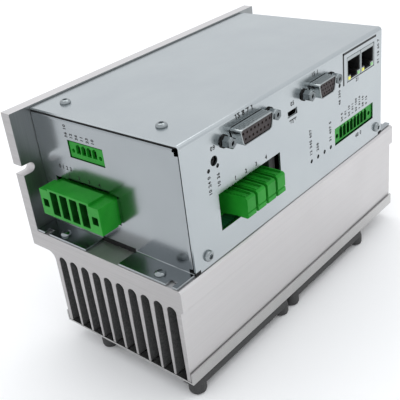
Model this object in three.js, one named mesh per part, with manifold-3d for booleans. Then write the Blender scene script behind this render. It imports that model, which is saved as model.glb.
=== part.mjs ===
// Wall-mounted servo drive: an L-shaped finned heatsink extrusion with a sheet steel housing on its
// base, connectors on the front and on the near end, and two fans with guards under the fins.
//
// Millimetres, +Z up. Pieces are laid out from the housing: x runs from the outer face of the near end
// panel to the far end, y from the front panel back to the wall plate, z up from the top of the
// heatsink base. The whole is then moved so that the origin is under its middle, where the feet stand.
import * as THREE from 'three';
import { mergeVertices } from 'three/addons/utils/BufferGeometryUtils.js';
import Module from 'manifold-3d';

const wasm = await Module();
wasm.setup();

// ---- driving dimensions -------------------------------------------------------------------------
const gap = 0.3;                // clearance kept between neighbouring pieces
const boxLength = 167.5;        // outer face of near end panel to outer face of far end panel
const boxDepth = 95.5;          // front panel to the inner face of the wall plate
const boxHeight = 63;           // top of heatsink base to top of cover
const sheet = 1;                // housing sheet thickness

const overhang = 12;            // heatsink beyond the housing at each end
const plateThick = 6.5;         // wall plate
const plateTop = boxHeight + 1;
const baseThick = 9.6;          // heatsink base at the wall plate's edge
const bandFace = -1.3;          // front face of the heatsink's upper band
const bandDrop = 11.2;          // height of that band
const finWall = 0.3;            // front face of the outer fin below the band
const finBack = 85.7;           // outer face of the rear fin
const finTip = -51.5;
const slotCount = 10;
const slotPitch = 8.2;
const firstSlot = 6;            // centre of the front slot
const slotTop = -10.8;
const slotRoot = 2.7;           // half width of a slot under its round root
const slotMouth = 3.4;          // half width at the fin tips
const hangSlot = { z: 34.2, half: 2.5, depth: 7.3 };

const coverTop = -51.8;         // upper face of the bottom sheet
const lipTop = -46.4;           // top of the bottom sheet's folded edges
const footZ = -62;              // what the drive stands on

const fanPlaces = [28.7, 107.1];  // x of the two fan axes
const fanY = 33;
const fanHalf = 30;
const fanTop = -36.5;
const fanBore = 28.3;
const guardHalf = { x: 38.4, y: 34.2, waist: 4.3 };  // waist: its ends are set in between the feet

const powerBoard = { low: 10.9, top: 12.5 };
const controlBoard = { low: 42.2, top: 43.8 };
const boardSpan = { x0: 2.5, x1: 165, y0: 2.6, y1: 92 };

const supply = { y0: 43.7, y1: 85.9, z0: 13.3, z1: 28.6, out: 11.6, middle: 64.8, pitch: 7.05 };
const motor = { x0: 20.4, x1: 67.1, z0: 12.9, z1: 31.3, middle: 44.25, pitch: 7.7, half: 3.1, out: 8 };
const ioPort = { x0: 117.4, x1: 157, z0: 13.7, z1: 22.2, slack: 0.6, front: 0.8 };
const safetyPort = { y0: 48.1, y1: 71, z0: 42.4, z1: 50.4, slack: 0.8, front: 0.6 };
const encoder = { x: 44.05, z: 53.7, half: 12.4, rise: 4.1, flange: 19.6, screw: 16.6 };
const feedback = { x: 101.9, z: 52.1, half: 8.2, rise: 4.1, flange: 15.5, screw: 12.5 };
const jacks = { places: [137.3, 151.6], half: 7, z0: 44.1, z1: 57 };
const usb = { x: 79.2, z: 46.8, half: 4, rise: 1.6 };
const addressHole = { x: 19.9, z: 47.8, r: 2.3 };
const nodeLeds = { places: [15.8, 21.9], z: 44.7 };
const busLed = { x: 122.4, z: 44.9 };
const statusLeds = { places: [93.9, 100.1, 106.3, 112.5], z: 14.3 };

const coverScrews = [[12, 20.1], [12, 82.8]];
const frontScrews = [[9.3, 6.1], [161.3, 6.1]];
const tabScrews = [14.2, 78];
const tabInset = 7.5;           // from the end panel's face to its tab screws
const tabReach = 12.7;          // from the end panel's inner face to the tabs' edges
const tabSpans = [[0.6, 36.5], [59, 95.2]];
const tabNotches = [5.3, 88];

// ---- materials ----------------------------------------------------------------------------------
const finish = (color, roughness, metalness) => () =>
  new THREE.MeshStandardMaterial({ color, roughness, metalness });
const aluminium = finish('#c4c4c4', 0.5, 1);
const zincedSteel = finish('#bac0c2', 0.3, 1);
const screwSteel = finish('#9aa0a2', 0.3, 1);
const shellMetal = finish('#b5b5b2', 0.25, 1);
const blackPlastic = finish('#2c2c2e', 0.6, 0);
const greenPlastic = finish('#2f8f34', 0.45, 0);
const brownPlastic = finish('#3a3330', 0.6, 0);
const boardGreen = finish('#1f5a38', 0.5, 0);
const capSleeve = finish('#22242a', 0.4, 0);
const moduleResin = finish('#d8d4c8', 0.6, 0);
const padGrey = finish('#9aa6ad', 0.9, 0);
const copper = finish('#a8642e', 0.4, 1);
const brass = finish('#c8a24a', 0.35, 1);
const ledClear = finish('#e4ead8', 0.2, 0);

// ---- helpers ------------------------------------------------------------------------------------
// A closed three.js geometry as a solid that can be joined and cut.
function solid(geometry) {
  geometry.deleteAttribute('normal');
  geometry.deleteAttribute('uv');
  const merged = mergeVertices(geometry, 1e-4);
  const order = Array.from(merged.index.array);
  const kept = [];
  for (let i = 0; i < order.length; i += 3) {
    const [a, b, c] = order.slice(i, i + 3);
    if (a !== b && b !== c && c !== a) kept.push(a, b, c);
  }
  const mesh = new wasm.Mesh({
    numProp: 3,
    vertProperties: Float32Array.from(merged.attributes.position.array),
    triVerts: Uint32Array.from(kept),
  });
  return new wasm.Manifold(mesh);
}

function geometryOf(body) {
  const mesh = body.getMesh();
  const geometry = new THREE.BufferGeometry();
  geometry.setAttribute('position', new THREE.Float32BufferAttribute(mesh.vertProperties, 3));
  geometry.setIndex(Array.from(mesh.triVerts));
  geometry.computeVertexNormals();
  return geometry;
}

function box([x0, x1], [y0, y1], [z0, z1]) {
  const geometry = new THREE.BoxGeometry(x1 - x0, y1 - y0, z1 - z0);
  geometry.translate((x0 + x1) / 2, (y0 + y1) / 2, (z0 + z1) / 2);
  return solid(geometry);
}

// Which model directions a shape's own first, second and extruded directions become.
const directions = {
  x: [new THREE.Vector3(0, 1, 0), new THREE.Vector3(0, 0, 1), new THREE.Vector3(1, 0, 0)],
  y: [new THREE.Vector3(0, 0, 1), new THREE.Vector3(1, 0, 0), new THREE.Vector3(0, 1, 0)],
  z: [new THREE.Vector3(1, 0, 0), new THREE.Vector3(0, 1, 0), new THREE.Vector3(0, 0, 1)],
};

// A shape pushed along an axis: it is drawn in (y, z) for x, in (z, x) for y and in (x, y) for z.
function prism(shape, axis, from, to, curveSegments = 6) {
  const geometry = new THREE.ExtrudeGeometry(shape, { depth: to - from, bevelEnabled: false, curveSegments });
  geometry.translate(0, 0, from);
  geometry.applyMatrix4(new THREE.Matrix4().makeBasis(...directions[axis]));
  return solid(geometry);
}

// A round bar along an axis; centre holds the two coordinates in the order that prism() draws in.
function bar(centre, radius, axis, from, to, sides = 16) {
  const geometry = new THREE.CylinderGeometry(radius, radius, to - from, sides);
  geometry.rotateX(Math.PI / 2);
  geometry.translate(centre[0], centre[1], (from + to) / 2);
  geometry.applyMatrix4(new THREE.Matrix4().makeBasis(...directions[axis]));
  return solid(geometry);
}

function outline(points) {
  return new THREE.Shape(points.map(([a, b]) => new THREE.Vector2(a, b)));
}

const join = (...bodies) => bodies.reduce((whole, body) => whole.add(body));
const cut = (body, ...tools) => tools.reduce((left, tool) => left.subtract(tool), body);

const model = new THREE.Group();
function addPart(name, body, material) {
  const mesh = new THREE.Mesh(geometryOf(body), material());
  mesh.name = name;
  model.add(mesh);
}

// ---- heatsink -----------------------------------------------------------------------------------
function slotOutline(centre) {
  const shape = new THREE.Shape();
  const rootZ = slotTop - slotRoot;
  shape.moveTo(centre + slotMouth, finTip - 1);
  shape.lineTo(centre + slotRoot, rootZ);
  shape.absarc(centre, rootZ, slotRoot, 0, Math.PI, false);
  shape.lineTo(centre - slotMouth, finTip - 1);
  return shape;
}

function heatsinkProfile() {
  const fillet = 4.5;
  const shape = new THREE.Shape();
  shape.moveTo(bandFace + 1, 0);
  shape.lineTo(bandFace, -1);
  shape.lineTo(bandFace, -bandDrop);
  shape.lineTo(finWall, -bandDrop - 1);
  shape.lineTo(finWall, finTip);
  shape.lineTo(finBack, finTip);
  shape.lineTo(finBack, -baseThick - fillet);
  shape.absarc(finBack + fillet, -baseThick - fillet, fillet, Math.PI, Math.PI / 2, true);
  shape.lineTo(boxDepth + plateThick, -baseThick);
  shape.lineTo(boxDepth + plateThick, plateTop);
  shape.lineTo(boxDepth, plateTop);
  shape.lineTo(boxDepth, 0);
  return shape;
}

function hangSlotTool(openEnd, roundEnd) {
  const span = [boxDepth - 1, boxDepth + plateThick + 1];
  const flat = [Math.min(openEnd, roundEnd), Math.max(openEnd, roundEnd)];
  const mouth = box(flat, span, [hangSlot.z - hangSlot.half, hangSlot.z + hangSlot.half]);
  return join(mouth, bar([hangSlot.z, roundEnd], hangSlot.half, 'y', ...span));
}

function heatsink() {
  const ends = [-overhang, boxLength + overhang];
  let body = prism(heatsinkProfile(), 'x', ...ends);
  for (let k = 0; k < slotCount; k += 1) {
    body = body.subtract(prism(slotOutline(firstSlot + k * slotPitch), 'x', ends[0] - 1, ends[1] + 1, 12));
  }
  for (const x of fanPlaces) {
    const pocket = box([x - 30.6, x + 30.6], [fanY - 30, fanY + 31.6], [finTip - 1, fanTop + 0.5]);
    body = body.subtract(pocket);
  }
  const roundAt = hangSlot.depth - hangSlot.half;
  body = body.subtract(hangSlotTool(ends[0] - 1, ends[0] + roundAt));
  body = body.subtract(hangSlotTool(ends[1] + 1, ends[1] - roundAt));
  for (const y of tabScrews) {
    body = body.subtract(bar([-tabInset, y], 1.8, 'z', -7, 1));
    body = body.subtract(bar([boxLength + tabInset, y], 1.8, 'z', -7, 1));
  }
  return body;
}

// ---- sheet metal --------------------------------------------------------------------------------
function bottomCover() {
  const ends = [-overhang, boxLength + overhang];
  const under = coverTop - sheet;
  const front = finWall - gap;
  const back = finBack + gap;
  const profile = outline([
    [front - sheet, under], [back + sheet, under], [back + sheet, lipTop], [back, lipTop],
    [back, coverTop], [front, coverTop], [front, lipTop], [front - sheet, lipTop],
  ]);
  const openings = fanPlaces.map((x) => bar([x, fanY], fanBore + 0.5, 'z', under - 1, coverTop + 1, 64));
  return cut(prism(profile, 'x', ...ends), ...openings);
}

// Outline of a D-shaped connector, wide edge up, drawn in (z, x) for prism() along y.
function dOutline(port, grow) {
  const lean = port.rise * 0.36;
  const r = port.rise + grow;
  const wide = port.half + grow;
  const narrow = port.half - lean + grow;
  const points = [[r, wide - 1.6], [r - 1.6, wide], [1.8 - r, narrow + 0.3], [-r, narrow - 1.4]];
  const mirrored = points.slice().reverse().map(([z, x]) => [z, -x]);
  return outline([...points, ...mirrored].map(([z, x]) => [port.z + z, port.x + x]));
}

function coverCutters() {
  const through = [-1, sheet + 1];
  const holes = [];
  for (const port of [encoder, feedback]) {
    holes.push(prism(dOutline(port, gap), 'y', ...through));
    for (const side of [-1, 1]) holes.push(bar([port.z, port.x + side * port.screw], 1.8, 'y', ...through, 12));
  }
  const [firstJack, lastJack] = jacks.places;
  holes.push(box([firstJack - jacks.half - gap, lastJack + jacks.half + gap], through, [jacks.z0 - gap, jacks.z1 + gap]));
  holes.push(box([usb.x - usb.half, usb.x + usb.half], through, [usb.z - usb.rise, usb.z + usb.rise]));
  const io = ioPort;
  holes.push(box([io.x0 - io.slack, io.x1 + io.slack], through, [io.z0 - io.slack, io.z1 + io.slack]));
  holes.push(box([motor.x0, motor.x1], through, [motor.z0, motor.z1]));
  holes.push(bar([addressHole.z, addressHole.x], addressHole.r, 'y', ...through, 28));
  for (const x of nodeLeds.places) holes.push(bar([nodeLeds.z, x], 1, 'y', ...through));
  holes.push(bar([busLed.z, busLed.x], 1.1, 'y', ...through));
  for (const x of statusLeds.places) holes.push(bar([statusLeds.z, x], 1.1, 'y', ...through));
  for (const [x, z] of frontScrews) holes.push(bar([z, x], 1.8, 'y', ...through, 12));
  for (const [x, y] of coverScrews) holes.push(bar([x, y], 1.8, 'z', boxHeight - sheet - 1, boxHeight + 1, 12));
  return holes;
}

function topCover() {
  const bend = 2;
  const shape = new THREE.Shape();
  shape.moveTo(0, gap);
  shape.lineTo(sheet, gap);
  shape.lineTo(sheet, boxHeight - bend);
  shape.absarc(bend, boxHeight - bend, bend - sheet, Math.PI, Math.PI / 2, true);
  shape.lineTo(boxDepth - gap, boxHeight - sheet);
  shape.lineTo(boxDepth - gap, boxHeight);
  shape.lineTo(bend, boxHeight);
  shape.absarc(bend, boxHeight - bend, bend, Math.PI / 2, Math.PI, false);
  return cut(prism(shape, 'x', gap, boxLength - gap), ...coverCutters());
}

// An L bend of the housing sheet: from the start of one leg, round the bend, to the end of the other.
function bentStrip(corner, alongFirst, alongSecond, axis, from, to) {
  const outer = 1.5;
  const inner = outer - sheet;
  const [a, b] = corner;
  const da = Math.sign(alongFirst);
  const db = Math.sign(alongSecond);
  const shape = new THREE.Shape();
  shape.moveTo(a, b + alongSecond);
  shape.lineTo(a, b + db * outer);
  shape.quadraticCurveTo(a, b, a + da * outer, b);
  shape.lineTo(a + alongFirst, b);
  shape.lineTo(a + alongFirst, b + db * sheet);
  shape.lineTo(a + da * (sheet + inner), b + db * sheet);
  shape.quadraticCurveTo(a + da * sheet, b + db * sheet, a + da * sheet, b + db * (sheet + inner));
  shape.lineTo(a + da * sheet, b + alongSecond);
  return prism(shape, axis, from, to, 4);
}

// The near end panel, with its face at x = 0; the far one is its mirror image, without the cut-outs.
function endPanel(screwInset, flangeReach) {
  const flangeTop = boxHeight - sheet - 0.8;
  const notch = 3.4;
  const plate = box([0, sheet], [3.2, boxDepth - gap], [1.8, flangeTop - 1.5]);
  const topFlange = bentStrip([flangeTop, 0], -4, 18, 'y', 4.2, boxDepth - gap);
  const frontFlange = bentStrip([0, 1.4], flangeReach, 4, 'z', notch, flangeTop - 3.2);
  let body = join(plate, topFlange, frontFlange);
  for (const [y0, y1] of tabSpans) {
    body = body.add(bentStrip([gap, sheet], 3, -tabReach, 'y', y0, y1));
  }
  body = body.subtract(box([-0.1, sheet + 1], [-1, notch], [-1, notch]));
  body = body.subtract(box([-1, sheet + 1], [tabSpans[0][1] + 0.01, tabSpans[1][0] - 0.01], [-1, 1.9]));
  for (const y of tabNotches) {
    body = body.subtract(box([-tabReach, -tabReach + 4.6], [y - 1.9, y + 1.9], [-1, 3]));
  }
  for (const y of tabScrews) body = body.subtract(bar([-tabInset, y], 1.8, 'z', -1, 3, 12));
  return body.subtract(bar([frontScrews[0][1], screwInset], 1.8, 'y', 0, 4, 12));
}

function nearEndPanel() {
  const supplyHole = box([-1, 2], [supply.y0 - gap, supply.y1 + gap], [supply.z0 - gap, supply.z1 + gap]);
  const { y0, y1, z0, z1, slack } = safetyPort;
  const safetyHole = box([-1, 2], [y0 - slack, y1 + gap], [z0 - gap, z1 + slack]);
  const screwHoles = coverScrews.map((at) => bar(at, 1.8, 'z', boxHeight - 5, boxHeight, 12));
  return cut(endPanel(frontScrews[0][0], 13), supplyHole, safetyHole, ...screwHoles);
}

function farEndPanel() {
  return endPanel(boxLength - frontScrews[1][0], 8.4).mirror([1, 0, 0]).translate([boxLength, 0, 0]);
}

// ---- screws -------------------------------------------------------------------------------------
// A pan head screw standing on z = 0 with its shank pointing down.
function panScrew(length) {
  const profile = [
    [0, -length], [1.4, -length], [1.4, 0.05], [2.7, 0.05], [2.6, 0.5], [2, 1.3], [1.1, 1.75], [0, 1.9],
  ];
  return solid(new THREE.LatheGeometry(profile.map(([r, z]) => new THREE.Vector2(r, z)), 14).rotateX(Math.PI / 2));
}

function jackScrew(port, side) {
  const centre = [port.z, port.x + side * port.screw];
  const hex = bar(centre, 2.75, 'y', -5.2, -0.3, 6);
  const socket = bar(centre, 1.25, 'y', -6, -1.6, 10);
  return join(cut(hex, socket), bar(centre, 1.4, 'y', -0.4, 6, 10));
}

// ---- fans ---------------------------------------------------------------------------------------
function fanFrame(x) {
  const outer = box([x - fanHalf, x + fanHalf], [fanY - fanHalf + 0.3, fanY + fanHalf], [coverTop + gap, fanTop]);
  const ring = cut(outer, bar([x, fanY], fanBore, 'z', coverTop - 1, fanTop + 1, 40));
  const hub = bar([x, fanY], 12, 'z', fanTop - 2, fanTop, 24);
  const struts = [0, 1, 2].map((k) => {
    const arm = new THREE.BoxGeometry(fanBore + 0.6, 3, 2);
    arm.translate((fanBore + 0.6) / 2, 0, 0);
    arm.rotateZ((k * 2 * Math.PI) / 3 + 0.3);
    arm.translate(x, fanY, fanTop - 1);
    return solid(arm);
  });
  return cut(join(ring, hub, ...struts), bar([x, fanY], 1.5, 'z', fanTop - 3, fanTop + 1, 12));
}

function fanRotor(x) {
  const hubRange = [coverTop + 0.8, fanTop - 2.6];
  const hub = bar([x, fanY], 12.5, 'z', ...hubRange, 24);
  const shaft = bar([x, fanY], 1.2, 'z', hubRange[1] - 1, fanTop - 0.4, 12);
  const blades = [0, 1, 2, 3, 4, 5, 6].map((k) => {
    const blade = new THREE.BoxGeometry(15.5, 1.3, 13.5);
    blade.rotateX(0.75);
    blade.translate(19.2, 0, 0);
    blade.rotateZ((k * 2 * Math.PI) / 7);
    blade.translate(x, fanY, (hubRange[0] + hubRange[1]) / 2);
    return solid(blade);
  });
  return join(hub, shaft, ...blades);
}

function fanGuard(x) {
  const top = coverTop - sheet - gap;
  const plate = box([x - guardHalf.x, x + guardHalf.x], [fanY - guardHalf.y, fanY + guardHalf.y], [top - 4, top]);
  const collar = bar([x, fanY], 32.5, 'z', top - 6.4, top, 40);
  const setIn = [-1, 1].map((side) => {
    const ends = [x + side * (guardHalf.x - guardHalf.waist), x + side * (guardHalf.x + 1)].sort((a, b) => a - b);
    return box(ends, [fanY - guardHalf.y + 9, fanY + guardHalf.y - 9], [top - 5, top + 1]);
  });
  let body = cut(join(plate, collar), ...setIn, bar([x, fanY], 28.5, 'z', top - 8, top + 1, 40));
  for (const radius of [9, 19]) {
    const hoop = cut(
      bar([x, fanY], radius + 1.2, 'z', top - 6, top - 4, 24),
      bar([x, fanY], radius - 1.2, 'z', top - 7, top - 3, 24),
    );
    body = body.add(hoop);
  }
  for (const [across, along] of [[29, 1.1], [1.1, 29]]) {
    body = body.add(box([x - across, x + across], [fanY - along, fanY + along], [top - 6, top - 4]));
  }
  for (const sx of [-1, 1]) {
    for (const sy of [-1, 1]) {
      const centre = [x + sx * (guardHalf.x - 4.3), fanY + sy * (guardHalf.y - 4.3)];
      body = body.add(bar(centre, 4.4, 'z', footZ, top - 1, 20));
    }
  }
  return body;
}

// ---- connectors ---------------------------------------------------------------------------------
function dShell(port) {
  const flange = box(
    [port.x - port.flange, port.x + port.flange], [sheet + gap, sheet + gap + 0.9], [port.z - 6.2, port.z + 6.2],
  );
  const rim = prism(dOutline(port, 0), 'y', -6, sheet + gap + 0.5);
  const inside = prism(dOutline(port, -0.6), 'y', -7, 4);
  const holes = [-1, 1].map((side) => bar([port.z, port.x + side * port.screw], 1.8, 'y', 0, 4, 12));
  return cut(join(flange, rim), inside, ...holes);
}

function dInsert(port) {
  const nose = prism(dOutline(port, -0.9), 'y', -5.8, 4);
  const half = port.flange - 1;
  const block = box([port.x - half, port.x + half], [3, 14], [controlBoard.top + gap, port.z + 5.6]);
  const holes = [-1, 1].map((side) => bar([port.z, port.x + side * port.screw], 1.8, 'y', 2, 8, 12));
  return cut(join(nose, block), ...holes);
}

function networkJack(x) {
  const body = box([x - jacks.half, x + jacks.half], [0.1, 15], [jacks.z0, jacks.z1]);
  const mouth = box([x - 5.9, x + 5.9], [-1, 12], [47.3, 54.8]);
  const notch = box([x - 3, x + 3], [-1, 12], [45.2, 48]);
  return cut(body, mouth, notch);
}

function usbPort() {
  const body = box([usb.x - 4.2, usb.x + 4.2], [sheet + gap, 9.5], [controlBoard.top + gap, usb.z + 2]);
  return cut(body, box([usb.x - 3.6, usb.x + 3.6], [0, 7.5], [usb.z - 1.3, usb.z + 1.3]));
}

function ioHeader() {
  const { x0, x1, z0, z1, front } = ioPort;
  const body = join(
    box([x0, x1], [front, 9.5], [z0, z1]),
    box([x0 + 1, x1 - 1], [2, 9.5], [powerBoard.top + gap, z0 + 1]),
  );
  const nuts = [x0 + 3, x1 - 3].map((x) => bar([z0 + 3.6, x], 1.3, 'y', -1, 6, 12));
  return cut(body, box([x0 + 5.8, x1 - 5.8], [-1, 8], [z0 + 1, z1 - 1.2]), ...nuts);
}

function safetyHeader() {
  const { y0, y1, z0, z1, front } = safetyPort;
  const body = join(
    box([front, 2.1], [y0, y1], [z0, z1]),
    box([2, 9.5], [y0, y1], [controlBoard.top + gap, z1]),
  );
  const nuts = [y0 + 2.9, y1 - 2.9].map((y) => bar([y, z0 + 3.7], 1.3, 'x', -1, 6, 12));
  return cut(body, box([-1, 8], [y0 + 5.2, y1 - 5.2], [z0 + 2.2, z1 - 1.2]), ...nuts);
}

function supplyHeader() {
  const { y0, y1, z0, z1, out, middle, pitch } = supply;
  const core = pitch * 2 + 0.7;
  let body = join(
    box([-out, 9], [y0, y1], [z0, z1 - 1.3]),
    box([-out, 9], [middle - core, middle + core], [z0, z1]),
    box([2.5, 9], [y0 + 2, y1 - 2], [powerBoard.top + gap, z0 + 1]),
  );
  for (let k = -1.5; k <= 1.5; k += 1) {
    const y = middle + k * pitch;
    body = body.subtract(box([-out - 1, -1.5], [y - 2.6, y + 2.6], [z0 + 1.6, z1 - 1.4]));
  }
  for (const side of [-1, 1]) {
    const y = middle + side * (pitch * 2 + 3.4);
    body = body.subtract(box([-out - 1, -4], [y - 2.1, y + 2.1], [z0 + 4.6, z0 + 9.2]));
  }
  return body;
}

// Four flat-topped modules side by side on one block, standing out through the panel.
function motorHeader() {
  const { x0, x1, z0, z1, middle, pitch, half, out } = motor;
  const low = z0 + 3.4;
  const top = z1 - 4.6;
  const block = box([x0 - 1, x1 + 1], [8.3, 14], [z0, top + 0.7]);
  const foot = box([x0, x1], [9, 14], [powerBoard.top + gap, z0 + 1]);
  const side = outline([
    [8.5, top], [-out + 0.9, top], [-out, top - 0.9], [-out, low + 0.5], [-out + 0.7, low], [-1, low], [8.5, low - 1.2],
  ]);
  const bridge = box([middle - pitch * 1.8, middle + pitch * 1.8], [-3.2, 8.4], [low + 1.1, top - 2.1]);
  let body = join(block, foot, bridge);
  for (let k = -1.5; k <= 1.5; k += 1) {
    const x = middle + k * pitch;
    body = body.add(prism(side, 'x', x - half, x + half));
    for (const rib of [-1.9, 1.9]) {
      body = body.add(box([x + rib - 0.35, x + rib + 0.35], [-out + 1.4, 8.4], [top - 0.2, top + 0.55]));
    }
  }
  return body;
}

// ---- switch and lamps ---------------------------------------------------------------------------
function addressSwitch() {
  const { x, z } = addressHole;
  const body = box([x - 3.5, x + 3.5], [3.3, 8.2], [controlBoard.top + gap, z + 3.6]);
  return body.subtract(bar([z, x], 1.3, 'y', 2, 6.5, 12));
}

function addressRotor() {
  const { x, z } = addressHole;
  const dial = join(bar([z, x], 1.9, 'y', 1.4, 3, 20), bar([z, x], 1, 'y', 2.8, 6, 12));
  return dial.subtract(box([x - 1.3, x + 1.3], [1, 2], [z - 0.35, z + 0.35]));
}

function lampBar(places, z, y0, board, radius) {
  const half = 1.3;
  const base = box([places[0] - half, places.at(-1) + half], [y0, y0 + 1.6], [board + gap, z + radius + 0.3]);
  return join(base, ...places.map((x) => bar([z, x], radius, 'y', 0.5, y0 + 0.5, 10)));
}

// ---- inside -------------------------------------------------------------------------------------
function capacitor(x, y) {
  const z = powerBoard.top + gap;
  const profile = [[0, 0], [10.6, 0], [11, 0.6], [11, 3], [10.6, 3.6], [11, 4.2], [11, 27.2], [10.2, 28], [0, 28]];
  const points = profile.map(([r, up]) => new THREE.Vector2(r, up));
  return solid(new THREE.LatheGeometry(points, 20).rotateX(Math.PI / 2)).translate([x, y, z]);
}

function choke(x, y) {
  const ring = bar([x, y], 11, 'z', powerBoard.top + gap, 25, 24);
  return cut(ring, bar([x, y], 4.5, 'z', 10, 30, 16));
}

function board({ low, top }) {
  const { x0, x1, y0, y1 } = boardSpan;
  return box([x0, x1], [y0, y1], [low, top]);
}

// ---- assembly -----------------------------------------------------------------------------------
addPart('heatsink', heatsink(), aluminium);
addPart('bottom_cover', bottomCover(), zincedSteel);
addPart('top_cover', topCover(), zincedSteel);
addPart('near_end_panel', nearEndPanel(), zincedSteel);
addPart('far_end_panel', farEndPanel(), zincedSteel);

const upright = (body, x, y, z) => body.translate([x, y, z]);
coverScrews.forEach(([x, y], i) => {
  addPart(`cover_screw_${i + 1}`, upright(panScrew(4), x, y, boxHeight), screwSteel);
});
frontScrews.forEach(([x, z], i) => {
  addPart(`front_screw_${i + 1}`, upright(panScrew(4).rotate([90, 0, 0]), x, 0, z), screwSteel);
});
tabScrews.forEach((y, i) => {
  addPart(`near_tab_screw_${i + 1}`, upright(panScrew(6), -tabInset, y, gap + sheet), screwSteel);
  addPart(`far_tab_screw_${i + 1}`, upright(panScrew(6), boxLength + tabInset, y, gap + sheet), screwSteel);
});

fanPlaces.forEach((x, i) => {
  addPart(`fan_${i + 1}_frame`, fanFrame(x), blackPlastic);
  addPart(`fan_${i + 1}_rotor`, fanRotor(x), blackPlastic);
  addPart(`fan_${i + 1}_guard`, fanGuard(x), blackPlastic);
});

for (const [name, port] of [['encoder', encoder], ['feedback', feedback]]) {
  addPart(`${name}_socket_shell`, dShell(port), shellMetal);
  addPart(`${name}_socket_insert`, dInsert(port), brownPlastic);
  addPart(`${name}_jackscrew_1`, jackScrew(port, -1), shellMetal);
  addPart(`${name}_jackscrew_2`, jackScrew(port, 1), shellMetal);
}
jacks.places.forEach((x, i) => addPart(`network_jack_${i + 1}`, networkJack(x), shellMetal));
addPart('usb_port', usbPort(), shellMetal);
addPart('io_header', ioHeader(), greenPlastic);
addPart('safety_header', safetyHeader(), greenPlastic);
addPart('supply_header', supplyHeader(), greenPlastic);
addPart('motor_header', motorHeader(), greenPlastic);

addPart('address_switch', addressSwitch(), blackPlastic);
addPart('address_rotor', addressRotor(), moduleResin);
addPart('node_leds', lampBar(nodeLeds.places, nodeLeds.z, 1.3, controlBoard.top, 0.7), ledClear);
addPart('bus_led', lampBar([busLed.x], busLed.z, 2.2, controlBoard.top, 0.8), ledClear);
addPart('status_leds', lampBar(statusLeds.places, statusLeds.z, 2.2, powerBoard.top, 0.8), ledClear);

addPart('power_board', board(powerBoard), boardGreen);
addPart('control_board', board(controlBoard), boardGreen);
[[40, 72], [64, 72], [88, 72], [112, 72]].forEach(([x, y], i) => {
  addPart(`bus_capacitor_${i + 1}`, capacitor(x, y), capSleeve);
});
[[30, 78], [90, 138]].forEach((span, i) => {
  addPart(`power_module_${i + 1}`, box(span, [30, 66], [1.4, powerBoard.low - gap]), moduleResin);
  addPart(`thermal_pad_${i + 1}`, box(span, [30, 66], [gap, 1.1]), padGrey);
});
addPart('supply_choke', choke(140, 72), copper);
addPart('aux_transformer', box([128, 150], [30, 50], [powerBoard.top + gap, 32]), capSleeve);
[[22, 20], [22, 86], [158, 20], [158, 86]].forEach(([x, y], i) => {
  const lower = bar([x, y], 2.9, 'z', gap, powerBoard.low - gap, 6);
  const upper = bar([x, y], 2.9, 'z', powerBoard.top + gap, controlBoard.low - gap, 6);
  addPart(`base_standoff_${i + 1}`, lower, brass);
  addPart(`board_standoff_${i + 1}`, upper, brass);
});

// Origin: on the standing plane, under the middle of the drive's length and depth.
const frontMost = -motor.out;
const rearMost = boxDepth + plateThick;
model.position.set(-boxLength / 2, -(frontMost + rearMost) / 2, -footZ);

export default model;
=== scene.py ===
import math

import bmesh
import bpy
from mathutils import Matrix, Vector


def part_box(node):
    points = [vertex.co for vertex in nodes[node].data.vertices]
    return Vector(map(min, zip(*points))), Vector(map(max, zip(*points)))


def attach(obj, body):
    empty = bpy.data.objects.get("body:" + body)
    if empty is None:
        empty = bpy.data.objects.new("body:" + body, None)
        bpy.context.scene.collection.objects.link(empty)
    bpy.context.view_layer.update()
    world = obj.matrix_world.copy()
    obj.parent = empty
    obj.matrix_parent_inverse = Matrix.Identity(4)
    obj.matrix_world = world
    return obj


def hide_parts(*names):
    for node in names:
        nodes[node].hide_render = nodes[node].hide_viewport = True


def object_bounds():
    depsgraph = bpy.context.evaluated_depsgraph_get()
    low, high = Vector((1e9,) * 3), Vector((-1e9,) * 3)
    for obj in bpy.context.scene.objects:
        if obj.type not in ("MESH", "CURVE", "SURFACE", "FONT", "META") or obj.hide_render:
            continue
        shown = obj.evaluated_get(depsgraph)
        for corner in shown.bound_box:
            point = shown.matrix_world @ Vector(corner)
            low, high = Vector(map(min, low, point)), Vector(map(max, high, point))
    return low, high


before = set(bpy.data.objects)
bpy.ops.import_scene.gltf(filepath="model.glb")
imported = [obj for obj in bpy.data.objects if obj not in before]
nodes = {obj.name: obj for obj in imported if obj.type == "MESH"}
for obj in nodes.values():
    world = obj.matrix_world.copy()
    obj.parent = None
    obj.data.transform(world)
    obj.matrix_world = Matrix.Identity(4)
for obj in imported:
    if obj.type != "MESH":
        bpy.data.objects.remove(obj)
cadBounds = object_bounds()
print("frame loaded:", len(nodes), "nodes")

mm = 0.001
# the housing's corner: x from the near end panel, y from the connector face, z from the heatsink base
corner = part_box("top_cover")[0] - Vector((0.3, 0, 0.3)) * mm


def at(x, y, z):
    return corner + Vector((x, y, z)) * mm


# materials

def linear(hexColour):
    parts = [int(hexColour[i:i + 2], 16) / 255 for i in (0, 2, 4)]
    return tuple(c / 12.92 if c <= 0.04045 else ((c + 0.055) / 1.055) ** 2.4 for c in parts) + (1.0,)


def add(tree, kind, inputs=None, **settings):
    # one node with its settings; an input is given a value or linked to a socket
    item = tree.nodes.new("ShaderNode" + kind)
    for key, value in settings.items():
        setattr(item, key, value)
    for key, value in (inputs or {}).items():
        if isinstance(value, bpy.types.NodeSocket):
            tree.links.new(value, item.inputs[key])
        else:
            item.inputs[key].default_value = value
    return item


def newMaterial(name, colour, roughness, metallic=0.0, **extra):
    material = bpy.data.materials.new(name)
    material.use_nodes = True
    shader = material.node_tree.nodes["Principled BSDF"]
    shader.inputs["Base Color"].default_value = linear(colour)
    shader.inputs["Roughness"].default_value = roughness
    shader.inputs["Metallic"].default_value = metallic
    for key, value in extra.items():
        shader.inputs[key].default_value = value
    return material, material.node_tree, shader


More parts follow.
